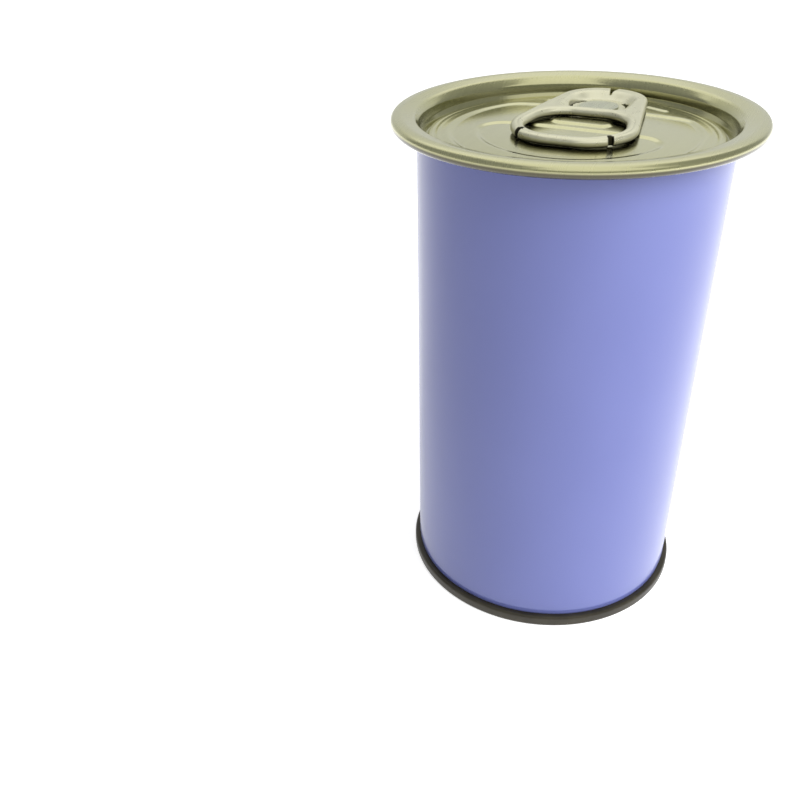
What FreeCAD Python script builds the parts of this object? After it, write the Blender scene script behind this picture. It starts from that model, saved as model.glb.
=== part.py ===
import FreeCAD, Part
import math
import os
import Sketcher

# A small round food can with an easy-open end: enamelled body, domed curl, ring-pull tab and seamed base.
# The can stands on its base seam. The origin is the centre of that seam's foot, +Z is up, the tab's nose
# points to +Y and its finger ring to -Y. All lengths are in millimetres.

doc = FreeCAD.newDocument("food_can")
dim = doc.addObject("Spreadsheet::Sheet", "dim")

SIZES = [
    # whole can
    ("can_height", 91.8, "standing face to the crest of the end's curl"),
    ("body_radius", 26.2, "outside of the body wall"),
    ("body_wall", 0.25, "thickness of the body wall at the mouth"),
    # body mouth and foot
    ("flange_width", 2.4, "reach of the mouth flange beyond the wall"),
    ("flare_round", 1.3, "outside radius where the wall flares into the flange"),
    ("mouth_gap", 0.74, "flange below the seaming panel, as the chuck wall rests on the flare"),
    ("neck_depth", 0.15, "step in of the wall just above the base seam"),
    ("neck_height", 0.5, "straight part of that neck"),
    ("neck_rise", 0.6, "height of the slope from neck to wall"),
    # easy-open end, depths counted down from the crest of the curl
    ("gauge", 0.3, "sheet of both ends"),
    ("chuck_clearance", 0.05, "end's chuck wall to the body's inside"),
    ("chuck_taper", 0.35, "how far the chuck wall narrows downwards"),
    ("shoulder_drop", 0.45, "seaming panel's inner end below the crest"),
    ("shoulder_round", 1.0, "bend from seaming panel to chuck wall"),
    ("shoulder_flare", 1.0, "top of the chuck wall beyond its part inside the body"),
    ("chuck_bend_depth", 2.5, "bend of the chuck wall where it enters the body, below the crest"),
    ("chuck_bend_round", 2.0, "radius of that bend"),
    ("crest_reach", 2.7, "crest of the curl beyond the body wall"),
    ("crest_rise", 0.06, "corner that the crest's round is drawn from"),
    ("crest_round", 3.2, "radius of the crest"),
    ("curl_reach", 4.4, "outside of the curl beyond the body wall"),
    ("curl_drop", 0.25, "outer corner of the curl below the crest"),
    ("curl_round", 0.95, "outside radius of the curl"),
    ("curl_height", 2.1, "crest to the lowest point of the curl"),
    ("curl_return", 1.35, "how far the curl turns back inwards"),
    ("countersink_depth", 4.9, "floor of the countersink groove"),
    ("countersink_width", 0.85, "width of that groove"),
    ("countersink_round", 0.38, "its floor radius"),
    ("panel_depth", 3.1, "rim of the opening panel"),
    ("panel_round", 0.4, "bend at the panel's edge"),
    ("score_margin", 1.2, "score line inside the panel's edge"),
    ("score_width", 0.3, "width of the score line"),
    ("score_cut", 0.12, "depth of the score line"),
    ("recess_margin", 2.0, "panel recess inside the score line"),
    ("recess_step", 0.3, "depth of that recess"),
    ("recess_slope", 1.2, "width of its sloping edge"),
    ("recess_chord", 14.0, "straight edge of the recess, beside the nose, from the centre"),
    ("recess_corner", 4.6, "corner radius of the recess"),
    ("well_margin", 4.7, "finger well inside the recess"),
    ("well_step", 0.35, "depth of the finger well below the recess"),
    ("well_slope", 1.3, "width of its sloping edge"),
    ("well_chord", 0.8, "straight edge of the well from the centre, under the ring"),
    ("well_corner", 4.4, "corner radius of the well"),
    ("bead_half_width", 5.6, "half the cross bead behind the well"),
    ("bead_length", 6.0, "its length towards the rivet"),
    ("bead_gap", 0.9, "well's straight edge to the foot of the bead"),
    ("bead_rise", 0.3, "height of the bead"),
    ("bead_slope", 0.9, "width of its sloping edge"),
    ("bead_corner", 2.2, "its corner radius"),
    ("pad_inset", 2.9, "guide pads beside the nose, inside the score line"),
    ("pad_angle", 26.5, "angle from the nose to the middle of a pad, degrees"),
    ("pad_length", 5.2, "length of a pad"),
    ("pad_width", 1.7, "width of a pad"),
    ("pad_rise", 0.2, "height of a pad"),
    # rivet, raised from the panel
    ("boss_radius", 3.9, "coined boss that the tab sits on"),
    ("shank_radius", 1.7, "shank through the tab"),
    ("rivet_clearance", 0.05, "shank to the tab's hole"),
    ("head_radius", 3.46, "riveted head"),
    ("head_height", 0.22, "thickness of the head"),
    ("head_round", 0.12, "its edge"),
    # ring-pull tab, measured from the rivet's axis
    ("nose_clearance", 0.25, "foot of the tab above the panel's rim"),
    ("tab_thickness", 1.55, "height of the curled tab"),
    ("tab_round", 0.7, "radius of its curled edges"),
    ("nose_gap", 0.4, "nose tip inside the score line"),
    ("nose_length", 9.7, "rivet to nose tip"),
    ("ring_length", 23.5, "rivet to the end of the ring"),
    ("nose_half_width", 6.7, "tab's sides where they meet the nose line"),
    ("ring_half_width", 12.0, "tab's sides where they meet the ring's end line"),
    ("nose_corner", 7.4, "corner radius of the nose"),
    ("ring_corner", 8.5, "corner radius of the ring"),
    ("ring_band", 2.05, "width of the ring's band"),
    ("hole_rear", 7.1, "rivet to the finger hole"),
    ("hole_corner", 5.6, "rear corner radius of the finger hole"),
    ("island_thickness", 0.35, "web that the rivet clamps"),
    ("island_radius", 4.5, "round island inside the slot"),
    ("slot_width", 0.8, "width of the C-shaped slot"),
    ("hinge_angle", 41.0, "half angle of the uncut hinge towards the nose, degrees"),
    ("pan_front", 5.4, "rivet to the pan's edge at the ring's side"),
    ("pan_rear", 5.8, "rivet to the pan's edge at the nose's side"),
    ("pan_half_width", 6.0, "half width of the pan around the rivet"),
    ("pan_front_corner", 2.2, "its corners at the ring's side"),
    ("pan_rear_corner", 5.5, "its corners at the nose's side"),
    ("notch_half_width", 0.8, "half the notch in the nose curl"),
    ("notch_length", 1.6, "length of the notch"),
    ("notch_depth", 1.0, "depth of the notch"),
    # base end and its double seam
    ("seam_reach", 1.0, "outside of the seam beyond the body wall"),
    ("seam_height", 2.3, "height of the double seam"),
    ("seam_thickness", 1.45, "seam from chuck wall to outside"),
    ("seam_foot_round", 0.62, "rounds at the seam's foot"),
    ("seam_top_round", 0.5, "round at the seam's top"),
    ("base_plug_inset", 0.7, "base end's plug inside the body wall"),
    ("base_countersink_extra", 0.1, "base's countersink deeper than the seam is high"),
    ("base_chuck_taper", 0.5, "how far the base's chuck wall narrows upwards"),
    ("base_groove", 1.2, "width of the base's countersink groove"),
    ("base_groove_round", 0.45, "its radius"),
    ("base_panel_drop", 1.0, "base panel below the floor of that groove"),
    ("base_step_radius", 18.5, "inner step of the base panel"),
    ("base_step", 0.45, "height of that step"),
    ("base_step_slope", 1.0, "width of that step's slope"),
]

for row, (alias, number, note) in enumerate(SIZES, start=1):
    dim.set(f"A{row}", alias.replace("_", " "))
    dim.set(f"B{row}", str(number))
    dim.set(f"C{row}", note)
    dim.setAlias(f"B{row}", alias)
doc.recompute()

# ---- derived radii and levels, as expressions of the driving sizes ------------------------------------

CHUCK = "(dim.body_radius - dim.body_wall - dim.chuck_clearance - dim.gauge)"
CHUCK_FOOT = f"({CHUCK} - dim.chuck_taper)"
SHOULDER = f"({CHUCK} + dim.shoulder_flare)"
CREST = "(dim.body_radius + dim.crest_reach)"
CURL = "(dim.body_radius + dim.curl_reach)"
PANEL_EDGE = f"({CHUCK_FOOT} - dim.countersink_width)"
SCORE = f"({PANEL_EDGE} - dim.score_margin)"
RECESS = f"({SCORE} - dim.recess_margin)"
WELL = f"({RECESS} - dim.well_margin)"
RIVET_Y = f"({SCORE} - dim.nose_gap - dim.nose_length)"
PLUG_DEPTH = "(dim.countersink_depth + dim.gauge)"
RECESS_DEPTH = "(dim.panel_depth + dim.recess_step)"
TAB_FOOT = "(dim.panel_depth - dim.nose_clearance)"
SEAMING_SLOPE = f"((dim.shoulder_drop + dim.crest_rise) / ({CREST} - {SHOULDER}))"
PLUG_TOP = "(dim.seam_height + dim.neck_height)"


def seaming_underside(radius):
    """Depth of the seaming panel's underside at a radius; the mouth flange lies along it."""
    return f"(dim.shoulder_drop + dim.gauge - {SEAMING_SLOPE} * ({radius} - {SHOULDER}))"


# ---- small drawing helpers ---------------------------------------------------------------------------

ORIGIN = (-1, 1)


def new_body(label):
    body = doc.addObject("PartDesign::Body", label)
    body.Label = label
    return body


def new_sketch(body, name, plane="XY_Plane", level=None):
    """A sketch on one of the body's own origin planes, lifted to a level along that plane's normal."""
    sketch = body.newObject("Sketcher::SketchObject", name)
    support = next(f for f in body.Origin.OriginFeatures if f.Role == plane)
    sketch.AttachmentSupport = [(support, "")]
    sketch.MapMode = "FlatFace"
    if level is not None:
        sketch.setExpression("AttachmentOffset.Base.z", level)
    doc.recompute()
    return sketch


def number(sketch, expression):
    return float(sketch.evalExpression(expression))


def bind(sketch, constraint, expression):
    index = sketch.addConstraint(constraint)
    sketch.setExpression(f"Constraints[{index}]", expression)


def pin_point(sketch, geo, pos, across, up):
    """Hold a point at (across, up); a coordinate of None lies on the sketch's axis."""
    if across is None:
        sketch.addConstraint(Sketcher.Constraint("PointOnObject", geo, pos, -2))
    else:
        value = number(sketch, across)
        bind(sketch, Sketcher.Constraint("DistanceX", *ORIGIN, geo, pos, value), across)
    if up is None:
        sketch.addConstraint(Sketcher.Constraint("PointOnObject", geo, pos, -1))
    else:
        value = number(sketch, up)
        bind(sketch, Sketcher.Constraint("DistanceY", *ORIGIN, geo, pos, value), up)


def draw_outline(sketch, corners):
    """A closed outline through corners (across, up, round); round is None at a sharp corner."""
    at = [
        FreeCAD.Vector(number(sketch, x) if x else 0, number(sketch, y) if y else 0, 0)
        for x, y, _ in corners
    ]
    count = len(corners)
    first = sketch.GeometryCount
    for i in range(count):
        sketch.addGeometry(Part.LineSegment(at[i], at[(i + 1) % count]), False)
    for i in range(count):
        ends = (first + i, 2, first + (i + 1) % count, 1)
        sketch.addConstraint(Sketcher.Constraint("Coincident", *ends))
    for i, (across, up, _) in enumerate(corners):
        pin_point(sketch, first + i, 1, across, up)
    for i, (_, _, bend) in enumerate(corners):
        if bend is None:
            continue
        radius = number(sketch, bend)
        arc = sketch.GeometryCount
        sketch.fillet(first + i, 1, radius, True, True)
        bind(sketch, Sketcher.Constraint("Radius", arc, radius), bend)


def draw_circle(sketch, radius):
    circle = Part.Circle(FreeCAD.Vector(), FreeCAD.Vector(0, 0, 1), number(sketch, radius))
    geo = sketch.addGeometry(circle, False)
    sketch.addConstraint(Sketcher.Constraint("Coincident", geo, 3, *ORIGIN))
    bind(sketch, Sketcher.Constraint("Radius", geo, number(sketch, radius)), radius)


def draw_circle_at(sketch, radius, up):
    """A circle whose centre stands on the sketch's vertical axis."""
    centre = FreeCAD.Vector(0, number(sketch, up), 0)
    geo = sketch.addGeometry(Part.Circle(centre, FreeCAD.Vector(0, 0, 1), number(sketch, radius)), False)
    pin_point(sketch, geo, 3, None, up)
    bind(sketch, Sketcher.Constraint("Radius", geo, number(sketch, radius)), radius)


def draw_cut_disc(sketch, radius, chord, corner):
    """A disc about the origin, cut straight across at +chord, its two corners rounded."""
    big = number(sketch, radius)
    small = number(sketch, corner)
    top = number(sketch, chord)
    across = math.sqrt((big - small) ** 2 - (top - small) ** 2)
    lean = math.atan2(top - small, across)
    up = FreeCAD.Vector(0, 0, 1)

    def arc(centre, size, start, end):
        return Part.ArcOfCircle(Part.Circle(FreeCAD.Vector(*centre, 0), up, size), start, end)

    rim = sketch.addGeometry(arc((0, 0), big, math.pi - lean, 2 * math.pi + lean), False)
    right = sketch.addGeometry(arc((across, top - small), small, lean, math.pi / 2), False)
    line_ends = FreeCAD.Vector(across, top, 0), FreeCAD.Vector(-across, top, 0)
    line = sketch.addGeometry(Part.LineSegment(*line_ends), False)
    left = sketch.addGeometry(arc((-across, top - small), small, math.pi / 2, math.pi - lean), False)
    sketch.addConstraint(Sketcher.Constraint("Coincident", rim, 3, *ORIGIN))
    sketch.addConstraint(Sketcher.Constraint("Tangent", rim, 2, right, 1))
    sketch.addConstraint(Sketcher.Constraint("Tangent", right, 2, line, 1))
    sketch.addConstraint(Sketcher.Constraint("Tangent", line, 2, left, 1))
    sketch.addConstraint(Sketcher.Constraint("Tangent", left, 2, rim, 1))
    sketch.addConstraint(Sketcher.Constraint("Equal", right, left))
    sketch.addConstraint(Sketcher.Constraint("Horizontal", line))
    bind(sketch, Sketcher.Constraint("Radius", rim, big), radius)
    bind(sketch, Sketcher.Constraint("Radius", right, small), corner)
    bind(sketch, Sketcher.Constraint("DistanceY", *ORIGIN, line, 1, top), chord)


def both_sides(corners):
    """Mirror the right-hand corners of an outline that is symmetric about the vertical axis."""
    return corners + [(f"-({x})", y, bend) for x, y, bend in reversed(corners)]


def feature(body, kind, name, sketch, **settings):
    made = body.newObject(f"PartDesign::{kind}", name)
    made.Profile = (sketch, [""])
    for key, value in settings.items():
        if isinstance(value, str) and "dim." in value:
            made.setExpression(key, value)
        else:
            setattr(made, key, value)
    doc.recompute()
    return made


def revolve(body, name, corners):
    sketch = new_sketch(body, f"{name}_profile", plane="XZ_Plane")
    draw_outline(sketch, corners)
    return feature(body, "Revolution", name, sketch, ReferenceAxis=(sketch, ["V_Axis"]), Angle=360.0)


def slope_angle(run, rise):
    """Taper of a pressed edge that is wider than it is high."""
    return f"atan({run} / {rise})"


# ---- body --------------------------------------------------------------------------------------------


def make_can_body():
    """Enamelled body: flared mouth, plain wall, a slight neck over the base seam. Shut, so it is solid."""
    body = new_body("can_body")
    inside = "(dim.body_radius - dim.body_wall)"
    flange = "(dim.body_radius + dim.flange_width)"
    neck = "dim.body_radius - dim.neck_depth"
    plug = "dim.body_radius - dim.base_plug_inset"
    floor = f"dim.can_height - {PLUG_DEPTH}"
    mouth = "dim.can_height - dim.mouth_gap"
    lip = f"{mouth} - {seaming_underside(flange)}"
    revolve(body, "can_wall", [
        (None, PLUG_TOP, None),
        (plug, PLUG_TOP, None),
        (plug, "dim.seam_height", None),
        (neck, "dim.seam_height", None),
        (neck, PLUG_TOP, None),
        ("dim.body_radius", f"{PLUG_TOP} + dim.neck_rise", None),
        ("dim.body_radius", f"{mouth} - {seaming_underside('dim.body_radius')} - dim.body_wall",
         "dim.flare_round"),
        (flange, f"{lip} - dim.body_wall", None),
        (flange, lip, None),
        (inside, f"{mouth} - {seaming_underside(inside)}", "dim.flare_round + dim.body_wall"),
        (inside, floor, None),
        (None, floor, None),
    ])
    return body


# ---- easy-open end -----------------------------------------------------------------------------------


def make_lid():
    """Easy-open end: curl, chuck wall, countersink and a scored, stepped panel with an integral rivet."""
    lid = new_body("lid")
    lid.setExpression("Placement.Base.z", "dim.can_height")
    shoulder_back = f"{SHOULDER} + dim.gauge"
    revolve(lid, "end_shell", [
        (None, f"-{PLUG_DEPTH}", None),
        (f"{CHUCK_FOOT} + dim.gauge", f"-{PLUG_DEPTH}", "dim.countersink_round + dim.gauge"),
        (f"{CHUCK} + dim.gauge", "-dim.chuck_bend_depth", "dim.chuck_bend_round - dim.gauge"),
        (shoulder_back, f"-{seaming_underside('(' + shoulder_back + ')')}", "dim.shoulder_round - dim.gauge"),
        (CREST, "dim.crest_rise - dim.gauge", None),
        (f"{CURL} - dim.gauge", "-dim.curl_drop - dim.gauge", "dim.curl_round - dim.gauge"),
        (f"{CURL} - dim.gauge", "-dim.curl_height + dim.gauge", "dim.curl_round - dim.gauge"),
        (f"{CURL} - dim.curl_return", "-dim.curl_height + dim.gauge", None),
        (f"{CURL} - dim.curl_return", "-dim.curl_height", None),
        (CURL, "-dim.curl_height", "dim.curl_round"),
        (CURL, "-dim.curl_drop", "dim.curl_round"),
        (CREST, "dim.crest_rise", "dim.crest_round"),
        (SHOULDER, "-dim.shoulder_drop", "dim.shoulder_round"),
        (CHUCK, "-dim.chuck_bend_depth", "dim.chuck_bend_round"),
        (CHUCK_FOOT, "-dim.countersink_depth", "dim.countersink_round"),
        (PANEL_EDGE, "-dim.countersink_depth", "dim.countersink_round"),
        (PANEL_EDGE, "-dim.panel_depth", "dim.panel_round"),
        (None, "-dim.panel_depth", None),
    ])
    press_score(lid)
    press_recess_and_well(lid)
    raise_beads(lid)
    raise_rivet(lid)
    return lid


def press_score(lid):
    """The line that the panel tears along."""
    sketch = new_sketch(lid, "score_rings", level="-dim.panel_depth")
    draw_circle(sketch, f"{SCORE} + dim.score_width / 2")
    draw_circle(sketch, f"{SCORE} - dim.score_width / 2")
    feature(lid, "Pocket", "score_line", sketch, Length="dim.score_cut")


def press_recess_and_well(lid):
    """Two shallow steps down: the panel's recess, straight-edged beside the nose, and the finger well."""
    edge = new_sketch(lid, "recess_edge", level="-dim.panel_depth")
    draw_cut_disc(edge, RECESS, "dim.recess_chord", "dim.recess_corner")
    feature(lid, "Pocket", "panel_recess", edge, Length="dim.recess_step",
            TaperAngle=f"-{slope_angle('dim.recess_slope', 'dim.recess_step')}")
    edge = new_sketch(lid, "well_edge", level=f"-{RECESS_DEPTH}")
    draw_cut_disc(edge, WELL, "dim.well_chord", "dim.well_corner")
    feature(lid, "Pocket", "finger_well", edge, Length="dim.well_step",
            TaperAngle=f"-{slope_angle('dim.well_slope', 'dim.well_step')}")


def raise_beads(lid):
    """A cross bead under the tab's web, and a guide pad on each side of the nose."""
    foot = "dim.well_chord + dim.bead_gap"
    sketch = new_sketch(lid, "cross_bead_edge", level=f"-{RECESS_DEPTH}")
    draw_outline(sketch, both_sides([
        ("dim.bead_half_width", foot, "dim.bead_corner"),
        ("dim.bead_half_width", f"{foot} + dim.bead_length", "dim.bead_corner"),
    ]))
    feature(lid, "Pad", "cross_bead", sketch, Length="dim.bead_rise",
            TaperAngle=f"-{slope_angle('dim.bead_slope', 'dim.bead_rise')}")
    sketch = new_sketch(lid, "guide_pad_edges", level="-dim.panel_depth")
    for side in (1, -1):
        draw_guide_pad(sketch, side)
    feature(lid, "Pad", "guide_pads", sketch, Length="dim.pad_rise")


def draw_guide_pad(sketch, side):
    """A straight pad square to the radius at pad_angle from the nose."""
    reach = f"({SCORE} - dim.pad_inset)"
    corners = []
    for along, out in ((-1, -1), (1, -1), (1, 1), (-1, 1)):
        radial = f"({reach} + {out} * dim.pad_width / 2)"
        tangent = f"({along} * dim.pad_length / 2)"
        x = f"{radial} * sin(dim.pad_angle * 1deg) + {tangent} * cos(dim.pad_angle * 1deg)"
        y = f"{radial} * cos(dim.pad_angle * 1deg) - {tangent} * sin(dim.pad_angle * 1deg)"
        corners.append((f"{side} * ({x})", y, "dim.pad_width * 0.4"))
    draw_outline(sketch, corners if side > 0 else corners[::-1])


def raise_rivet(lid):
    """Boss, shank and head, raised from the panel itself to clamp the tab's island."""
    sketch = new_sketch(lid, "boss_edge", level=f"-{RECESS_DEPTH}")
    draw_circle_at(sketch, "dim.boss_radius", RIVET_Y)
    feature(lid, "Pad", "rivet_boss", sketch, Length=f"{RECESS_DEPTH} - {TAB_FOOT}")
    sketch = new_sketch(lid, "shank_edge", level=f"-{TAB_FOOT}")
    draw_circle_at(sketch, "dim.shank_radius", RIVET_Y)
    feature(lid, "Pad", "rivet_shank", sketch, Length="dim.island_thickness")
    sketch = new_sketch(lid, "head_edge", level=f"-{TAB_FOOT} + dim.island_thickness")
    draw_circle_at(sketch, "dim.head_radius", RIVET_Y)
    head = feature(lid, "Pad", "rivet_head", sketch, Length="dim.head_height")
    top = -number(sketch, TAB_FOOT) + number(sketch, "dim.island_thickness + dim.head_height")
    round_edges(lid, "rivet_head_round", head, "dim.head_round", "dim.head_radius", top)


def round_edges(body, name, base, radius, circle_radius, level):
    """Round the full circles of one radius at one level of the base feature."""
    wanted = number(base, circle_radius)
    edges = []
    for index, edge in enumerate(base.Shape.Edges, start=1):
        if not isinstance(edge.Curve, Part.Circle):
            continue
        if abs(edge.CenterOfMass.z - level) < 1e-4 and abs(edge.Curve.Radius - wanted) < 1e-4:
            edges.append(f"Edge{index}")
    fillet = body.newObject("PartDesign::Fillet", name)
    fillet.Base = (base, edges)
    fillet.setExpression("Radius", radius)
    doc.recompute()
    return fillet


# ---- ring-pull tab -----------------------------------------------------------------------------------


TAB_TAPER = "((dim.ring_half_width - dim.nose_half_width) / (dim.nose_length + dim.ring_length))"
# the nose's two corners meet at its middle at most, so that a narrow nose still has a flat tip
NOSE_CORNER = f"min(dim.nose_corner; 0.95 * dim.nose_half_width / tan((90deg - atan({TAB_TAPER})) / 2))"


def tab_side(reach):
    """Half width of the tab's tapering side at a distance from the rivet towards the nose."""
    return f"(dim.nose_half_width + {TAB_TAPER} * (dim.nose_length - ({reach})))"


def make_pull_tab():
    """Curled ring pull: nose on the score line, pan and island at the rivet, finger ring at the end."""
    tab = new_body("pull_tab")
    tab.setExpression("Placement.Base.y", RIVET_Y)
    tab.setExpression("Placement.Base.z", f"dim.can_height - {TAB_FOOT}")
    sketch = new_sketch(tab, "tab_edge")
    draw_outline(sketch, both_sides([
        ("dim.ring_half_width", "-dim.ring_length", "dim.ring_corner"),
        ("dim.nose_half_width", "dim.nose_length", NOSE_CORNER),
    ]))
    feature(tab, "Pad", "tab_blank", sketch, Length="dim.tab_thickness")

    sketch = new_sketch(tab, "hole_edge", level="dim.tab_thickness")
    front = "(-dim.ring_length + dim.ring_band)"
    draw_outline(sketch, both_sides([
        (f"{tab_side(front)} - dim.ring_band", front, "dim.ring_corner - dim.ring_band"),
        (f"{tab_side('-dim.hole_rear')} - dim.ring_band", "-dim.hole_rear", "dim.hole_corner"),
    ]))
    holed = feature(tab, "Pocket", "finger_hole", sketch, Type="ThroughAll")

    curled = tab.newObject("PartDesign::Fillet", "curled_edges")
    curled.Base = (holed, flat_faces(holed))
    curled.setExpression("Radius", "dim.tab_round")
    doc.recompute()

    sketch = new_sketch(tab, "pan_edge", level="dim.tab_thickness")
    draw_outline(sketch, both_sides([
        ("dim.pan_half_width", "-dim.pan_front", "dim.pan_front_corner"),
        ("dim.pan_half_width", "dim.pan_rear", "dim.pan_rear_corner"),
    ]))
    feature(tab, "Pocket", "rivet_pan", sketch, Length="dim.tab_thickness - dim.island_thickness")
    cut_rivet_hole_and_slot(tab)

    sketch = new_sketch(tab, "notch_edge", level="dim.tab_thickness")
    draw_outline(sketch, [
        ("-dim.notch_half_width", "dim.nose_length", None),
        (None, "dim.nose_length - dim.notch_length", None),
        ("dim.notch_half_width", "dim.nose_length", None),
    ])
    feature(tab, "Pocket", "nose_notch", sketch, Length="dim.notch_depth")
    return tab


def flat_faces(shape_owner):
    """Names of the feature's top and bottom faces."""
    names = []
    for index, face in enumerate(shape_owner.Shape.Faces, start=1):
        if isinstance(face.Surface, Part.Plane) and abs(abs(face.normalAt(0, 0).z) - 1) < 1e-6:
            names.append(f"Face{index}")
    return names


def cut_rivet_hole_and_slot(tab):
    """The rivet's hole, and the C-shaped slot that leaves a hinge towards the nose."""
    sketch = new_sketch(tab, "rivet_hole_edge", level="dim.island_thickness")
    draw_circle(sketch, "dim.shank_radius + dim.rivet_clearance")
    feature(tab, "Pocket", "rivet_hole", sketch, Type="ThroughAll")

    sketch = new_sketch(tab, "slot_edge", level="dim.island_thickness")
    inner = number(sketch, "dim.island_radius")
    outer = number(sketch, "dim.island_radius + dim.slot_width")
    half = math.radians(number(sketch, "dim.hinge_angle"))
    start, end = math.pi / 2 + half, 2.5 * math.pi - half
    up = FreeCAD.Vector(0, 0, 1)
    arcs = [
        sketch.addGeometry(Part.ArcOfCircle(Part.Circle(FreeCAD.Vector(), up, r), start, end), False)
        for r in (inner, outer)
    ]
    ends = []
    for pos, angle in ((1, start), (2, end)):
        a = FreeCAD.Vector(inner * math.cos(angle), inner * math.sin(angle), 0)
        b = FreeCAD.Vector(outer * math.cos(angle), outer * math.sin(angle), 0)
        line = sketch.addGeometry(Part.LineSegment(a, b), False)
        sketch.addConstraint(Sketcher.Constraint("Coincident", line, 1, arcs[0], pos))
        sketch.addConstraint(Sketcher.Constraint("Coincident", line, 2, arcs[1], pos))
        ends.append(line)
    for arc, radius, text in (
        (arcs[0], inner, "dim.island_radius"),
        (arcs[1], outer, "dim.island_radius + dim.slot_width"),
    ):
        sketch.addConstraint(Sketcher.Constraint("Coincident", arc, 3, *ORIGIN))
        bind(sketch, Sketcher.Constraint("Radius", arc, radius), text)
    x_end = "(dim.island_radius * sin(dim.hinge_angle * 1deg))"
    y_end = "(dim.island_radius * cos(dim.hinge_angle * 1deg))"
    for line, side in zip(ends, (-1, 1)):
        text = f"{side} * {x_end}"
        bind(sketch, Sketcher.Constraint("DistanceX", *ORIGIN, line, 1, number(sketch, text)), text)
        outer_x = f"{side} * (dim.island_radius + dim.slot_width) * sin(dim.hinge_angle * 1deg)"
        bind(sketch, Sketcher.Constraint("DistanceX", *ORIGIN, line, 2, number(sketch, outer_x)), outer_x)
    feature(tab, "Pocket", "island_slot", sketch, Type="ThroughAll")


# ---- base end ----------------------------------------------------------------------------------------


def make_base_end():
    """Plain bottom end: double seam to stand on, chuck wall, countersink and a stepped panel."""
    base = new_body("base_end")
    outside = "(dim.body_radius + dim.seam_reach)"
    chuck = f"({outside} - dim.seam_thickness)"
    chuck_top = f"({chuck} - dim.base_chuck_taper)"
    panel = f"({chuck_top} - dim.base_groove)"
    plug = "dim.body_radius - dim.base_plug_inset"
    countersink = "(dim.seam_height + dim.base_countersink_extra)"
    panel_level = f"({countersink} - dim.base_panel_drop)"
    step_foot = "dim.base_step_radius + dim.base_step_slope"
    revolve(base, "base_shell", [
        (None, f"{panel_level} - dim.base_step", None),
        ("dim.base_step_radius", f"{panel_level} - dim.base_step", None),
        (step_foot, panel_level, None),
        (panel, panel_level, "dim.base_groove_round"),
        (panel, countersink, "dim.base_groove_round"),
        (chuck_top, countersink, "dim.base_groove_round"),
        (chuck, None, "dim.seam_foot_round"),
        (outside, None, "dim.seam_foot_round"),
        (outside, "dim.seam_height", "dim.seam_top_round"),
        (plug, "dim.seam_height", None),
        (plug, PLUG_TOP, None),
        (None, PLUG_TOP, None),
    ])
    return base


# ---- build, check and write --------------------------------------------------------------------------

parts = [make_can_body(), make_lid(), make_pull_tab(), make_base_end()]
doc.recompute()

for item in doc.Objects:
    bad = {"Invalid", "Error"} & set(item.State)
    if bad:
        raise RuntimeError(f"{item.Label} did not recompute: {sorted(bad)}")

os.makedirs("parts", exist_ok=True)
for part in parts:
    shape = part.Shape
    if shape.isNull() or not shape.isValid() or len(shape.Solids) != 1:
        raise RuntimeError(f"{part.Label} is not one valid solid")
    shape.exportStep(f"parts/{part.Label}.step")
    print(part.Label, "volume", round(shape.Volume, 2), "box", shape.BoundBox)
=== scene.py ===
import math

import bmesh
import bpy
import numpy as np
from mathutils import Matrix, Vector


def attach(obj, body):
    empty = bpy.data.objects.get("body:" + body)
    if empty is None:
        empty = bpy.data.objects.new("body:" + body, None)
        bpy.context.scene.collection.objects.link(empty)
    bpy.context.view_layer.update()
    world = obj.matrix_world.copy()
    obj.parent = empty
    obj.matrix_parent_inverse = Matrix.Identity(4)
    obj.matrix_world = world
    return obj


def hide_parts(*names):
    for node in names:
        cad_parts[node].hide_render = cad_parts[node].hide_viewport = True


# A small round food can, shut, with an easy-open end. Sizes are in millimetres. Every piece is built
# round the can's axis, with the foot of the base seam at height 0 and the tab's ring towards -Y.

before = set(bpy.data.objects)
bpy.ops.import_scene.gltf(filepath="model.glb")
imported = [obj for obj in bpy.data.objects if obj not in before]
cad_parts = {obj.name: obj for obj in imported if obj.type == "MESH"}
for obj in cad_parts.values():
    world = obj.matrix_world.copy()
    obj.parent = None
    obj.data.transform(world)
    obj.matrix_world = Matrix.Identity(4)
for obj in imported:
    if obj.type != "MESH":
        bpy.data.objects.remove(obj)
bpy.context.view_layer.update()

# ---- can body --------------------------------------------------------------------------------------
# The body is a tube of tinplate, welded down its side and roller-coated outside with glossy lavender
# enamel. Its mouth is flared outwards under the end, and its foot is necked in a little at the seam.

MM = 0.001


def bent(corners, arc_step=9.0):
    """A profile drawn from (radius, height, bend) corners, with each bend turned into an arc."""
    line = []
    for index, (r, z, bend) in enumerate(corners):
        if not bend:
            line.append((r, z))
            continue
        here = Vector((r, z))
        before = (Vector(corners[index - 1][:2]) - here).normalized()
        after = (Vector(corners[index + 1][:2]) - here).normalized()
        opening = before.angle(after)
        reach = bend / math.tan(opening / 2)
        centre = here + (before + after).normalized() * (bend / math.sin(opening / 2))
        start, end = here + before * reach - centre, here + after * reach - centre
        swing = start.angle_signed(end)
        steps = max(3, round(math.degrees(abs(swing)) / arc_step))
        for step in range(steps + 1):
            spoke = start.copy()
            spoke.rotate(Matrix.Rotation(-swing * step / steps, 2))
            line.append(tuple(centre + spoke))
    return line


def spaced(line, gap):
    """The same profile with points at most a gap apart."""
    fine = [line[0]]
    for (r0, z0), (r1, z1) in zip(line, line[1:]):
        count = max(1, math.ceil(math.hypot(r1 - r0, z1 - z0) / gap))
        fine += [(r0 + (r1 - r0) * k / count, z0 + (z1 - z0) * k / count)
                 for k in range(1, count + 1)]
    return fine


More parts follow.
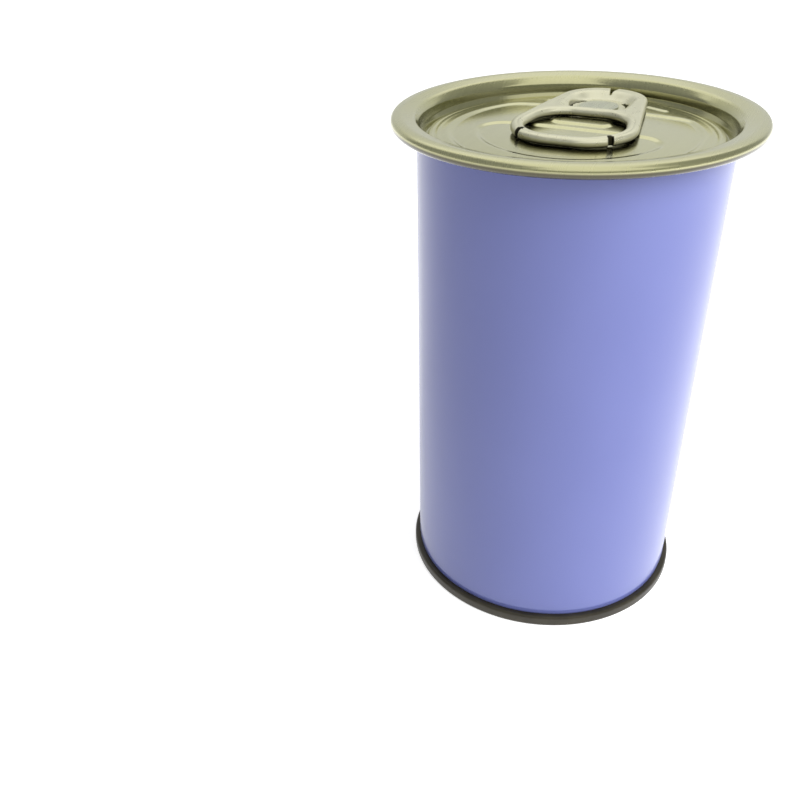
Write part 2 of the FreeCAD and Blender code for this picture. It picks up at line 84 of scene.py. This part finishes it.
def metal_piece(name, points, faces):
    """A smooth closed mesh from points in millimetres, with its faces turned outwards."""
    mesh = bpy.data.meshes.new(name)
    mesh.from_pydata((np.asarray(points) * MM).tolist(), [], faces)
    shell = bmesh.new()
    shell.from_mesh(mesh)
    bmesh.ops.recalc_face_normals(shell, faces=shell.faces)
    for face in shell.faces:
        face.smooth = True
    shell.to_mesh(mesh)
    shell.free()
    piece = bpy.data.objects.new(name, mesh)
    bpy.context.scene.collection.objects.link(piece)
    return piece


def turned(name, line, sides, centre=(0.0, 0.0), pressing=None):
    """A closed piece spun round an upright axis from a profile that starts and ends on it.
    Pressing tells how far each point of the spun shape is then raised."""
    spin = np.arange(sides) * 2 * math.pi / sides
    rings = np.array(line[1:-1])
    x = rings[:, :1] * np.cos(spin) + centre[0]
    y = rings[:, :1] * np.sin(spin) + centre[1]
    z = np.repeat(rings[:, 1:], sides, axis=1)
    points = np.stack([x, y, z], axis=-1).reshape(-1, 3)
    points = np.vstack([points, [[*centre, line[0][1]], [*centre, line[-1][1]]]])
    if pressing:
        points[:, 2] += pressing(points[:, 0], points[:, 1])
    faces = []
    for ring in range(len(rings) - 1):
        low, high = ring * sides, (ring + 1) * sides
        faces += [(low + k, low + (k + 1) % sides, high + (k + 1) % sides, high + k)
                  for k in range(sides)]
    first, last, rim = len(points) - 2, len(points) - 1, (len(rings) - 1) * sides
    faces += [(first, k, (k + 1) % sides) for k in range(sides)]
    faces += [(last, rim + k, rim + (k + 1) % sides) for k in range(sides)]
    return metal_piece(name, points, faces)


def colour(red, green, blue):
    """A paint colour from its 0 to 255 swatch values."""
    return tuple(((v / 255 + 0.055) / 1.055) ** 2.4 for v in (red, green, blue)) + (1.0,)


class Finish:
    """A procedural finish: a Principled surface and the few nodes that vary it."""

    def __init__(self, name, **settings):
        self.material = bpy.data.materials.new(name)
        self.material.use_nodes = True
        self.tree = self.material.node_tree
        self.surface = self.tree.nodes["Principled BSDF"]
        for socket, value in settings.items():
            self.surface.inputs[socket.replace("_", " ")].default_value = value
        self.place = self.tree.nodes.new("ShaderNodeTexCoord").outputs["Object"]

    def join(self, source, target):
        self.tree.links.new(source, target)

    def drive(self, socket, source):
        """Lets a node's output set one socket of the surface."""
        self.join(source, self.surface.inputs[socket])

    def maths(self, operation, *values):
        node = self.tree.nodes.new("ShaderNodeMath")
        node.operation = operation
        for socket, value in zip(node.inputs, values):
            if isinstance(value, (int, float)):
                socket.default_value = value
            else:
                self.join(value, socket)
        return node.outputs[0]

    def times(self, first, second):
        return self.maths("MULTIPLY", first, second)

    def distance(self, across, along):
        """How far a point is from where both of its measures are 0."""
        squares = self.maths("ADD", self.times(across, across), self.times(along, along))
        return self.maths("SQRT", squares)

    def axis(self, letter):
        """How far along one axis of the can a point is, in millimetres."""
        node = self.tree.nodes.new("ShaderNodeSeparateXYZ")
        self.join(self.place, node.inputs[0])
        return self.times(node.outputs[letter], 1 / MM)

    def grain(self, stretch, detail=3.0, seed=0.0):
        """Noise whose spots are the given sizes in millimetres along X, Y and Z."""
        mapping = self.tree.nodes.new("ShaderNodeMapping")
        mapping.inputs["Scale"].default_value = [1 / MM / size for size in stretch]
        mapping.inputs["Location"].default_value = (seed, seed, seed)
        noise = self.tree.nodes.new("ShaderNodeTexNoise")
        noise.inputs["Scale"].default_value = 1.0
        noise.inputs["Detail"].default_value = detail
        noise.inputs["Roughness"].default_value = 0.55
        self.join(self.place, mapping.inputs["Vector"])
        self.join(mapping.outputs[0], noise.inputs["Vector"])
        return noise.outputs["Fac"]

    def ramp(self, amount, *stops):
        """Colours, or plain levels, blended over a 0 to 1 amount."""
        node = self.tree.nodes.new("ShaderNodeValToRGB")
        ramp = node.color_ramp
        while len(ramp.elements) < len(stops):
            ramp.elements.new(0.5)
        for element, (at, value) in zip(ramp.elements, stops):
            element.position = at
            element.color = value if isinstance(value, tuple) else (value, value, value, 1.0)
        self.join(amount, node.inputs[0])
        return node.outputs[0]

    def span(self, value, start, end):
        """0 at start to 1 at end, smoothly."""
        node = self.tree.nodes.new("ShaderNodeMapRange")
        node.interpolation_type = "SMOOTHSTEP"
        self.join(value, node.inputs["Value"])
        node.inputs["From Min"].default_value = start
        node.inputs["From Max"].default_value = end
        return node.outputs["Result"]

    def blend(self, amount, first, second):
        """The first colour where the amount is 0 and the second where it is 1."""
        node = self.tree.nodes.new("ShaderNodeMix")
        node.data_type = "RGBA"
        for socket, value in zip((node.inputs[0], *node.inputs[6:8]), (amount, first, second)):
            if isinstance(value, tuple):
                socket.default_value = value
            else:
                self.join(value, socket)
        return node.outputs[2]

    def relief(self, height, depth):
        """Tiny relief of a depth in millimetres."""
        node = self.tree.nodes.new("ShaderNodeBump")
        node.inputs["Strength"].default_value = 1.0
        node.inputs["Distance"].default_value = depth * MM
        self.join(height, node.inputs["Height"])
        self.drive("Normal", node.outputs[0])


can_height = 91.8
wall_radius = 26.2
neck_radius, neck_height = 26.05, 2.8
foot_radius, foot_height = 25.6, 2.15
flange_radius, flange_edge, flange_top = 28.6, 90.45, 90.7
mouth_radius, mouth_height = 25.95, 90.25
flare_height, filled_height = 90.0, 86.4
round_sides = 256

body_line = bent([
    (0.0, neck_height, 0), (foot_radius, neck_height, 0),
    (foot_radius, foot_height, 0), (neck_radius, foot_height, 0),
    (neck_radius, neck_height, 0.8), (wall_radius, neck_height + 0.6, 1.5),
    (wall_radius, flare_height, 1.3),
    (flange_radius, flange_edge, 0), (flange_radius, flange_top, 0),
    (mouth_radius, mouth_height, 1.5), (mouth_radius, filled_height, 0), (0.0, filled_height, 0),
])
can_body = turned("enamelled_body", spaced(body_line, 4.0), round_sides)

enamel = Finish("lavender_enamel", Roughness=0.3, Specular_IOR_Level=0.25,
                Coat_Weight=0.4, Coat_Roughness=0.05)
cloud = enamel.grain((30.0, 30.0, 45.0), detail=2.0)
enamel_tone = enamel.ramp(cloud, (0.3, colour(107, 115, 176)), (0.7, colour(113, 121, 182)))
speck = enamel.span(enamel.grain((0.45, 0.45, 0.45), detail=1.0, seed=3.0), 0.80, 0.86)
near_top = enamel.span(enamel.axis("Z"), 60.0, 92.0)
dust = enamel.times(speck, near_top)
enamel.drive("Base Color", enamel.blend(dust, enamel_tone, colour(84, 88, 140)))
enamel.relief(enamel.grain((1.6, 1.6, 1.6), detail=1.0), 0.0015)
can_body.data.materials.append(enamel.material)
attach(can_body, "root")
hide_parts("can_body")

# ---- base end --------------------------------------------------------------------------------------
# The base is a plain tinplate end, double seamed to the body's foot. The seam is left uncoated, so it
# is dull and dark. Its panel is set up inside the seam, and its middle is stepped down again.

seam_radius, seam_height, seam_bend = 27.2, 2.3, 0.62
middle_height, panel_height = 0.95, 1.4
groove_height = 2.4
inside_radius, inside_height = 25.55, 2.75

base_line = bent([
    (0.0, middle_height, 0), (17.5, middle_height, 0.8),
    (18.5, panel_height, 0.8), (24.05, panel_height, 0.4),
    (24.1, groove_height, 0.45), (25.25, groove_height, 0.45),
    (25.75, 0.0, seam_bend), (seam_radius, 0.0, seam_bend), (seam_radius, seam_height, seam_bend),
    (25.9, seam_height, 0), (inside_radius, seam_height, 0),
    (inside_radius, inside_height, 0), (0.0, inside_height, 0),
])
base_end = turned("seamed_base", spaced(base_line, 2.0), round_sides)

tinplate = Finish("dull_tinplate", Metallic=0.4)
wear = tinplate.grain((6.0, 6.0, 3.0), detail=5.0, seed=7.0)
tinplate.drive("Base Color", tinplate.ramp(
    wear, (0.25, colour(46, 43, 34)), (0.5, colour(58, 54, 43)), (0.8, colour(72, 68, 55))))
tinplate.drive("Roughness", tinplate.ramp(wear, (0.2, 0.34), (0.8, 0.5)))
tinplate.relief(tinplate.grain((9.0, 9.0, 0.25), detail=3.0), 0.01)
base_end.data.materials.append(tinplate.material)
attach(base_end, "root")
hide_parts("base_end")

# ---- easy-open end ---------------------------------------------------------------------------------
# The end is stamped from one sheet of tinplate with satin gold lacquer over straight rolling grain. Its
# curl hangs over the body's flange. The domed panel inside the countersink has a score line all round,
# a stepped recess, a finger well and cross bead under the ring, and two guide pads beside the nose.

panel_depth = 3.45
panel_level = can_height - panel_depth
panel_radius = 24.0
rivet_y = 13.1

score_radius, score_depth, score_width = 23.2, 0.12, 0.13
burr_inset, burr_height, burr_width = 0.55, 0.05, 0.22

# Discs cut straight on their +Y side: radius, place of the straight edge, corner radius.
recess, recess_depth = (21.2, 14.0, 4.6), 0.3
finger_well, well_depth = (16.5, 0.8, 4.4), 0.28
step_slope = 1.3

# Plan shapes by their two ends: half width, y, corner radius.
cross_bead, bead_height, bead_slope = ((5.6, 1.7, 2.2), (5.6, 6.0, 2.1)), 0.3, 0.9
guide_pad, pad_height, pad_slope = ((2.6, -0.85, 0.8), (2.6, 0.85, 0.8)), 0.2, 0.6
pad_lean, pad_inset = math.radians(26.5), 2.9

boss_radius, boss_drop = 3.9, 0.04
dome_height, dome_crown, dome_fall = 0.7, 4.0, 18.5


def outside(x, y, low, high):
    """Distance outside a mirrored plan shape from its two ends, each (half width, y, corner)."""
    (w0, y0, r0), (w1, y1, r1) = low, high
    x = np.abs(x)
    length = math.hypot(w1 - w0, y1 - y0)
    sx, sy = (w1 - w0) / length, (y1 - y0) / length
    gap = np.maximum(np.maximum(y0 - y, y - y1), (x - w0) * sy - (y - y0) * sx)
    cx, cy = w0 - r0 * (1 - sx) / sy, y0 + r0
    corner = (x > cx) & ((x - cx) * sx + (y - cy) * sy < 0)
    gap = np.where(corner, np.hypot(x - cx, y - cy) - r0, gap)
    cy = y1 - r1
    cx = w0 + (-r1 + (cy - y0) * sx) / sy
    corner = (x > cx) & ((x - cx) * sx + (y - cy) * sy > 0)
    return np.where(corner, np.hypot(x - cx, y - cy) - r1, gap)


def outside_cut_disc(x, y, radius, chord, corner):
    """Distance outside a disc that is cut by a straight edge on its +Y side."""
    radius, chord = radius - corner, chord - corner
    half = math.sqrt(radius**2 - chord**2)
    x, r = np.abs(x), np.hypot(x, y)
    gap = np.maximum(r - radius, y - chord)
    beyond = (x > half) & (y * half > chord * x)
    return np.where(beyond, np.hypot(x - half, y - chord), gap) - corner


def slope(gap, width):
    """1 well inside an edge and 0 outside it, with a smooth slope as wide as given."""
    t = np.clip(-gap / width, 0.0, 1.0)
    return t * t * (3 - 2 * t)


def pressed_panel(x, y):
    """How far the press tools raise or sink the panel at a point."""
    r = np.hypot(x, y)
    rise = -score_depth * np.exp(-(((r - score_radius) / score_width) ** 2))
    rise = rise + burr_height * np.exp(-(((r - score_radius + burr_inset) / burr_width) ** 2))
    rise = rise - recess_depth * slope(outside_cut_disc(x, y, *recess), step_slope)
    rise = rise - well_depth * slope(outside_cut_disc(x, y, *finger_well), step_slope)
    rise = rise + bead_height * slope(outside(x, y, *cross_bead), bead_slope)
    for lean in (-pad_lean, pad_lean):
        along = x * math.cos(lean) - y * math.sin(lean)
        out = x * math.sin(lean) + y * math.cos(lean) - (score_radius - pad_inset)
        rise = rise + pad_height * slope(outside(along, out, *guide_pad), pad_slope)
    boss = slope(np.hypot(x, y - rivet_y) - boss_radius, step_slope)
    rise = rise * (1 - boss) - boss_drop * boss
    dome = dome_height * (1 - np.clip((r - dome_crown) / dome_fall, 0.0, 1.0) ** 2)
    return np.where(r < panel_radius, rise + dome, 0.0)


# The two faces of the sheet by (radius, depth below the can's top, bend): panel, countersink, chuck
# wall, seaming panel and curl outwards on top, and back underneath.
top_line = bent([
    (0.0, panel_depth, 0), (24.35, panel_depth, 0.4), (24.4, 4.4, 0.25), (24.95, 4.4, 0.28),
    (25.5, 3.1, 1.0), (25.75, 1.6, 1.2), (26.6, 0.45, 1.0), (28.9, -0.06, 3.2),
    (30.6, 0.25, 0.95), (30.6, 2.1, 0.95), (29.25, 2.1, 0.3), (29.25, 0.75, 0),
], arc_step=5.0)
under_line = bent([
    (29.25, 0.75, 0), (28.9, 0.35, 0), (26.75, 0.78, 0.7), (25.93, 1.85, 1.0),
    (25.75, 3.3, 0.8), (25.2, 4.75, 0.3), (24.1, 4.75, 0.3), (24.1, 3.75, 0.1), (0.0, 3.75, 0),
])
top_gap, under_gap, end_sides = 0.27, 0.8, 448
end_line = [(r, can_height - depth)
            for r, depth in spaced(top_line, top_gap)[:-1] + spaced(under_line, under_gap)]
easy_open_end = turned("easy_open_end", end_line, end_sides, pressing=pressed_panel)

lacquer = Finish("satin_gold_lacquer", Metallic=1.0, Coat_Weight=1.0, Coat_Roughness=0.14)
level = lacquer.axis("Z")
across, along = lacquer.axis("X"), lacquer.axis("Y")
radius = lacquer.distance(across, along)
rolling = lacquer.grain((0.16, 26.0, 26.0), detail=4.0, seed=1.0)
lacquer_tone = lacquer.ramp(rolling, (0.3, colour(207, 205, 153)), (0.7, colour(217, 215, 163)))
rim = lacquer.span(radius, 25.8, 26.6)
lacquer_tone = lacquer.blend(rim, lacquer_tone, colour(208, 206, 156))

# Painted shade: the lacquer's colour is darkened down the chuck wall, on the panel under the tab's
# island and on the underside of the curl, where shade falls.
wall_shade_band = lacquer.times(lacquer.span(level, can_height - 0.6, can_height - 2.2),
                        lacquer.span(radius, 24.1, 24.5))
wall_shade = lacquer.times(wall_shade_band, lacquer.span(radius, 27.6, 27.0))
from_rivet = lacquer.distance(across, lacquer.maths("SUBTRACT", along, rivet_y))
painted_shade = lacquer.maths("MAXIMUM", lacquer.times(wall_shade, 0.3), lacquer.span(from_rivet, 6.0, 5.3))
curl_shade = lacquer.times(lacquer.span(level, can_height - 0.74, can_height - 1.3),
                        lacquer.span(radius, 28.0, 29.0))
painted_shade = lacquer.maths("MAXIMUM", painted_shade, curl_shade)
# Blends the lacquer towards a dark colour that is painted shade.
lacquer.drive("Base Color", lacquer.blend(painted_shade, lacquer_tone, colour(62, 58, 36)))
satin = lacquer.maths("MULTIPLY_ADD", rolling, 0.14, 0.12)
lacquer.drive("Roughness", lacquer.maths("MULTIPLY_ADD", rim, 0.1, satin))
lacquer.relief(rolling, 0.003)
easy_open_end.data.materials.append(lacquer.material)
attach(easy_open_end, "root")
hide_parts("lid")

# ---- rivet -----------------------------------------------------------------------------------------
# The rivet is drawn up from the end's own sheet, through the tab's island, and staked to a flat head.
# Staking stretches the lacquer thin, so the head is greyer than the panel.

head_radius, head_thickness, head_bend = 3.46, 0.22, 0.1
head_top = can_height - 2.28
head_foot = head_top - head_thickness
shank_radius, shank_foot = 1.7, panel_level - 0.1
head_sides = 96

rivet_line = bent([
    (0.0, head_top, 0), (2.9, head_top, 0.8), (head_radius, head_top - 0.03, head_bend),
    (head_radius, head_foot, 0.08), (shank_radius, head_foot, 0),
    (shank_radius, shank_foot, 0), (0.0, shank_foot, 0),
])
rivet = turned("rivet", spaced(rivet_line, 0.3), head_sides, centre=(0.0, rivet_y))

staked = Finish("staked_rivet_head", Metallic=1.0)
scuff = staked.grain((1.2, 5.0, 5.0), detail=0.0, seed=5.0)
staked.drive("Base Color", staked.ramp(
    scuff, (0.3, colour(206, 208, 186)), (0.7, colour(214, 216, 194))))
staked.drive("Roughness", staked.ramp(scuff, (0.2, 0.2), (0.8, 0.34)))
rivet.data.materials.append(staked.material)
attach(rivet, "root")
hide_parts("lid")

# ---- pull tab --------------------------------------------------------------------------------------
# The tab is stamped from thicker steel with a paler lacquer. Its edge is curled under all round, and so
# is the finger hole's. The pan holds the rivet's island, freed by a C-shaped slot. The curl is slit at
# the nose and at both corners of the ring, and the ring dips towards the finger well.

tab_foot = can_height - 2.85
tab_thickness, curl_bend = 1.55, 0.7
tab_turn = math.radians(2.3)

# Plan shapes by their two ends, measured from the rivet's axis: half width, y, corner radius.
tab_edge = (12.0, -23.5, 8.5), (6.7, 9.7, 7.4)
finger_hole = (9.62, -21.45, 6.45), (6.95, -7.1, 5.6)
pan_edge = (6.2, -5.9, 2.6), (6.2, 7.4, 5.5)
pan_sheet, pan_slope = 0.35, 2.2

ring_dip, dip_start, dip_length, dip_power = 0.52, -6.0, 17.5, 1.3
curl_swell = 0.05
hem_inset, hem_depth, hem_width = 1.12, 0.12, 0.16
hem_back, hem_front_fade, hem_back_fade = -2.0, 1.5, 5.0
island_hole_radius = 1.75
slot_radius, slot_half_width, slot_bend = 4.9, 0.34, 0.2
slot_bearing, slot_mm_per_degree = 41.0, 0.08
nose_slit_x, nose_slit_y, nose_slit_floor = 0.3, 6.4, 0.2
nose_slit_half_width, nose_slit_flare, nose_slit_scale = 0.12, 0.22, 0.95
slit_x, slit_y, slit_lean = 8.3, -22.4, math.radians(24)
slit_half_width, slit_depth, slit_reach = 0.42, 1.75, 2.5


def rounded(gap, rise, bend):
    """Distance outside a slab with rounded edges, from distances outside its plan and its height."""
    a, b = gap + bend, rise + bend
    return np.hypot(np.maximum(a, 0), np.maximum(b, 0)) + np.minimum(np.maximum(a, b), 0) - bend


def tab_shape(x, y, z):
    """Distance outside the tab, for points measured from the rivet's axis and the tab's foot."""
    x, y = (x * math.cos(tab_turn) + y * math.sin(tab_turn),
            y * math.cos(tab_turn) - x * math.sin(tab_turn))
    edge = outside(x, y, *tab_edge)
    hole = outside(x, y, *finger_hole)

    level = z + ring_dip * np.clip((dip_start - y) / dip_length, 0.0, 1.0) ** dip_power
    swell = curl_swell * np.cos(np.clip(hole - 1.0, -1, 1) * 3.0)
    sink = (tab_thickness - pan_sheet) * slope(outside(x, y, *pan_edge), pan_slope)
    hem = np.exp(-(((hole - hem_inset) / hem_width) ** 2))
    hem = hem * np.clip((y - slit_y) / hem_front_fade, 0, 1)
    hem = hem * np.clip((hem_back - y) / hem_back_fade, 0, 1)
    top = tab_thickness - curl_swell + swell - sink - hem_depth * hem
    shape = rounded(np.maximum(edge, -hole), np.maximum(level - top, -level), curl_bend)

    from_rivet = np.hypot(x, y)
    shape = np.maximum(shape, island_hole_radius - from_rivet)
    bearing = np.degrees(np.arctan2(np.abs(x), y))
    slot = rounded(np.abs(from_rivet - slot_radius) - slot_half_width,
                   (slot_bearing - bearing) * slot_mm_per_degree, slot_bend)
    shape = np.maximum(shape, -slot)

    half_width = nose_slit_half_width + nose_slit_flare * (y - nose_slit_y)
    nose_slit = (np.abs(x - nose_slit_x) - half_width) * nose_slit_scale
    nose_slit = np.maximum(np.maximum(nose_slit, nose_slit_y - y), nose_slit_floor - z)
    shape = np.maximum(shape, -nose_slit)
    for side in (-1, 1):
        dx, dy = x - side * slit_x, y - slit_y
        wide = np.abs(dx * math.cos(slit_lean) + side * dy * math.sin(slit_lean))
        slit = np.maximum(wide - slit_half_width, -edge - slit_depth)
        shape = np.maximum(shape, -np.maximum(slit, np.hypot(dx, dy) - slit_reach))
    return shape


def skinned(name, distance, low, high, step):
    """A closed skin round the space where a distance function is below 0. Each grid cell that the
    surface crosses gets one point, and each grid edge that it crosses gets one face."""
    axes = [np.arange(a, b + step, step) for a, b in zip(low, high)]
    value = distance(*np.meshgrid(*axes, indexing="ij"))
    full = value < 0
    cells = tuple(n - 1 for n in value.shape)
    total, count = np.zeros((*cells, 3)), np.zeros(cells)
    crossings = []
    for axis in range(3):
        start = [slice(None)] * 3
        end = [slice(None)] * 3
        start[axis], end[axis] = slice(None, -1), slice(1, None)
        first, second = value[tuple(start)], value[tuple(end)]
        crossed = full[tuple(start)] != full[tuple(end)]
        share = np.where(crossed, first / np.where(crossed, first - second, 1.0), 0.0)
        numbers = [np.arange(n, dtype=float) for n in crossed.shape]
        spot = np.stack(np.meshgrid(*numbers, indexing="ij"), axis=-1)
        spot[..., axis] += share
        others = [k for k in range(3) if k != axis]
        for i in (0, 1):
            for j in (0, 1):
                part = [slice(None)] * 3
                part[others[0]] = slice(i, cells[others[0]] + i)
                part[others[1]] = slice(j, cells[others[1]] + j)
                total += spot[tuple(part)] * crossed[tuple(part)][..., None]
                count += crossed[tuple(part)]
        crossings.append((others, crossed))
    active = count > 0
    number = np.full(cells, -1)
    number[active] = np.arange(active.sum())
    points = total[active] / count[active][:, None] * step + np.array(low)
    faces = []
    for others, crossed in crossings:
        where = np.argwhere(crossed)
        where = where[(where[:, others[0]] > 0) & (where[:, others[1]] > 0)]
        loop = []
        for i, j in ((0, 0), (1, 0), (1, 1), (0, 1)):
            cell = where.copy()
            cell[:, others[0]] -= i
            cell[:, others[1]] -= j
            loop.append(number[tuple(cell.T)])
        faces.append(np.stack(loop, axis=1))
    return metal_piece(name, points, np.vstack(faces).tolist())


grid_low, grid_high, grid_step = (-11.4, -24.2, -0.62), (11.7, 10.4, 2.0), 0.13
pull_tab = skinned("ring_pull_tab", tab_shape, grid_low, grid_high, grid_step)
for point in pull_tab.data.vertices:
    point.co += Vector((0.0, rivet_y, tab_foot)) * MM

tab_lacquer = Finish("pale_tab_lacquer", Metallic=0.7)
maths, times, span = tab_lacquer.maths, tab_lacquer.times, tab_lacquer.span
brushing = tab_lacquer.grain((1.0, 2.2, 1.0), detail=2.0, seed=2.0)
tab_tone = tab_lacquer.ramp(brushing, (0.3, colour(213, 211, 182)), (0.7, colour(219, 217, 190)))

# Painted shade: darker towards the tab's underside, but not in the pan.
across, along = tab_lacquer.axis("X"), maths("SUBTRACT", tab_lacquer.axis("Y"), rivet_y + 0.8)
from_pan = tab_lacquer.distance(across, along)
dip = times(span(along, -4.8, -24.3), ring_dip)
height = maths("ADD", maths("SUBTRACT", tab_lacquer.axis("Z"), tab_foot), dip)
shade = tab_lacquer.ramp(maths("DIVIDE", height, tab_thickness),
                         (0.14, 1.0), (0.28, 0.88), (0.42, 0.42), (0.66, 0.0))
shade = times(shade, span(from_pan, 6.4, 7.0))

# Painted shade inside the two slits at the ring's corners.
forward = maths("SUBTRACT", tab_lacquer.axis("Y"), rivet_y)
aside = maths("MULTIPLY_ADD", forward, math.sin(tab_turn), times(across, math.cos(tab_turn)))
forward = maths("MULTIPLY_ADD", across, -math.sin(tab_turn), times(forward, math.cos(tab_turn)))
aside = maths("SUBTRACT", maths("ABSOLUTE", aside), slit_x)
from_slit = maths("MULTIPLY_ADD", maths("ADD", forward, -slit_y), math.sin(slit_lean),
                  times(aside, math.cos(slit_lean)))
slit_shade = times(span(maths("ABSOLUTE", from_slit), 0.6, 0.44), span(forward, -19.7, -20.0))
shade = maths("MAXIMUM", shade, times(slit_shade, 0.95))

# The dark colour here is painted shade under the tab and inside its slits.
tab_lacquer.drive("Base Color", tab_lacquer.blend(shade, tab_tone, colour(34, 31, 20)))
tab_lacquer.drive("Roughness", tab_lacquer.ramp(brushing, (0.2, 0.24), (0.8, 0.38)))
tab_lacquer.relief(tab_lacquer.grain((0.6, 0.6, 0.6), detail=2.0), 0.003)
pull_tab.data.materials.append(tab_lacquer.material)
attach(pull_tab, "root")
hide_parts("pull_tab")

# ---- studio ----------------------------------------------------------------------------------------
# A white floor that keeps the can's shadow, a white room, two soft lamps, and four curved grey cards
# round the can that only reflections see. Distances in this section are in metres.

floor_half = 4.0
floor_glow, room_light = 0.66, 0.42

floor_mesh = bpy.data.meshes.new("floor")
floor_mesh.from_pydata([(-floor_half, -floor_half, 0), (floor_half, -floor_half, 0),
                        (floor_half, floor_half, 0), (-floor_half, floor_half, 0)],
                       [], [(0, 1, 2, 3)])
floor = bpy.data.objects.new("floor", floor_mesh)
bpy.context.scene.collection.objects.link(floor)
white = Finish("white_sweep", Roughness=0.9, Specular_IOR_Level=0.0,
               Emission_Color=(1.0, 1.0, 1.0, 1.0))
paper = white.grain((400.0, 400.0, 400.0), detail=1.0)
white.drive("Base Color", white.ramp(
    paper, (0.3, colour(238, 238, 239)), (0.7, colour(241, 241, 242))))
rays = white.tree.nodes.new("ShaderNodeLightPath")
seen = white.maths("MAXIMUM", rays.outputs["Is Camera Ray"], rays.outputs["Is Glossy Ray"])
white.drive("Emission Strength", white.times(seen, floor_glow))
floor.data.materials.append(white.material)

world = bpy.data.worlds.new("white_room")
bpy.context.scene.world = world
world.use_nodes = True
room = world.node_tree
sky = room.nodes["Background"]
rays = room.nodes.new("ShaderNodeLightPath")
seen = rays.outputs["Is Camera Ray"]
for kind in ("Is Glossy Ray", "Is Transmission Ray"):
    either = room.nodes.new("ShaderNodeMath")
    either.operation = "MAXIMUM"
    room.links.new(seen, either.inputs[0])
    room.links.new(rays.outputs[kind], either.inputs[1])
    seen = either.outputs[0]
strength = room.nodes.new("ShaderNodeMapRange")
strength.inputs["To Min"].default_value = room_light
strength.inputs["To Max"].default_value = 1.0
room.links.new(seen, strength.inputs["Value"])
room.links.new(strength.outputs[0], sky.inputs["Strength"])
sky.inputs["Color"].default_value = (1.0, 1.0, 1.0, 1.0)

lamp_aim = Vector((0.0, 0.0, 0.05))
for name, place, size, power in (
    ("key_lamp", (0.60, -0.10, 0.50), 0.5, 6.5),
    ("top_lamp", (0.0, 0.2, 0.9), 1.0, 2.4),
):
    light = bpy.data.lights.new(name, "AREA")
    light.size = size
    light.energy = power
    lamp = bpy.data.objects.new(name, light)
    lamp.location = place
    lamp.rotation_euler = (lamp_aim - Vector(place)).to_track_quat("-Z", "Y").to_euler()
    lamp.visible_glossy = False
    bpy.context.scene.collection.objects.link(lamp)


def grey_card(name, bearings, profile, shade, steps=12):
    """A curved card seen only in reflections, standing on a (distance, height) profile. Its
    bearings, in degrees, turn from the camera's side of the can towards the camera's left."""
    camera_side = -60
    first, last = bearings
    points, faces = [], []
    for step in range(steps + 1):
        bearing = math.radians(camera_side - (first + (last - first) * step / steps))
        points += [(r * math.cos(bearing), r * math.sin(bearing), z) for r, z in profile]
    rows = len(profile)
    for low in range(0, steps * rows, rows):
        faces += [(low + k, low + k + 1, low + rows + k + 1, low + rows + k)
                  for k in range(rows - 1)]
    mesh = bpy.data.meshes.new(name)
    mesh.from_pydata(points, [], faces)
    card = bpy.data.objects.new(name, mesh)
    bpy.context.scene.collection.objects.link(card)
    card.visible_camera = card.visible_diffuse = card.visible_shadow = False
    felt = Finish(name + "_felt", Base_Color=(0.0, 0.0, 0.0, 1.0), Specular_IOR_Level=0.0,
                  Emission_Strength=1.0)
    darker, lighter = (tuple(v * part for v in shade) + (1.0,) for part in (0.9, 1.1))
    nap = felt.grain((500.0, 500.0, 500.0), detail=1.0)
    felt.drive("Emission Color", felt.ramp(nap, (0.3, darker), (0.7, lighter)))
    card.data.materials.append(felt.material)


side_card = ((0.5, 0.09), (0.5, 0.45), (0.3, 0.72))
grey_card("left_flag", (35, 128), side_card, (0.28, 0.29, 0.30))
grey_card("back_flag", (128, 236), ((0.6, 0.09), (0.6, 0.44)), (0.60, 0.61, 0.59))
grey_card("right_flag", (-124, -50), side_card, (0.32, 0.33, 0.32))
grey_card("front_flag", (-50, 35), ((0.6, 0.09), (0.6, 0.39)), (0.24, 0.25, 0.22))

camera = bpy.data.objects.new("camera", bpy.data.cameras.new("camera"))
camera.data.lens = 39.85
camera.data.sensor_width = 36.0
camera.data.shift_x = 0.019
camera.data.shift_y = 0.0375
camera.data.clip_start = 0.01
camera_place = Vector((46.49, -146.31, 129.76)) * MM
heading, downward, roll = (math.radians(angle) for angle in (30.14, 33.72, -2.03))
camera.matrix_world = (
    Matrix.Translation(camera_place)
    @ Matrix.Rotation(heading, 4, "Z")
    @ Matrix.Rotation(math.pi / 2 - downward, 4, "X")
    @ Matrix.Rotation(roll, 4, "Z")
)
bpy.context.scene.collection.objects.link(camera)
bpy.context.scene.camera = camera
bpy.context.scene.view_settings.view_transform = "Standard"
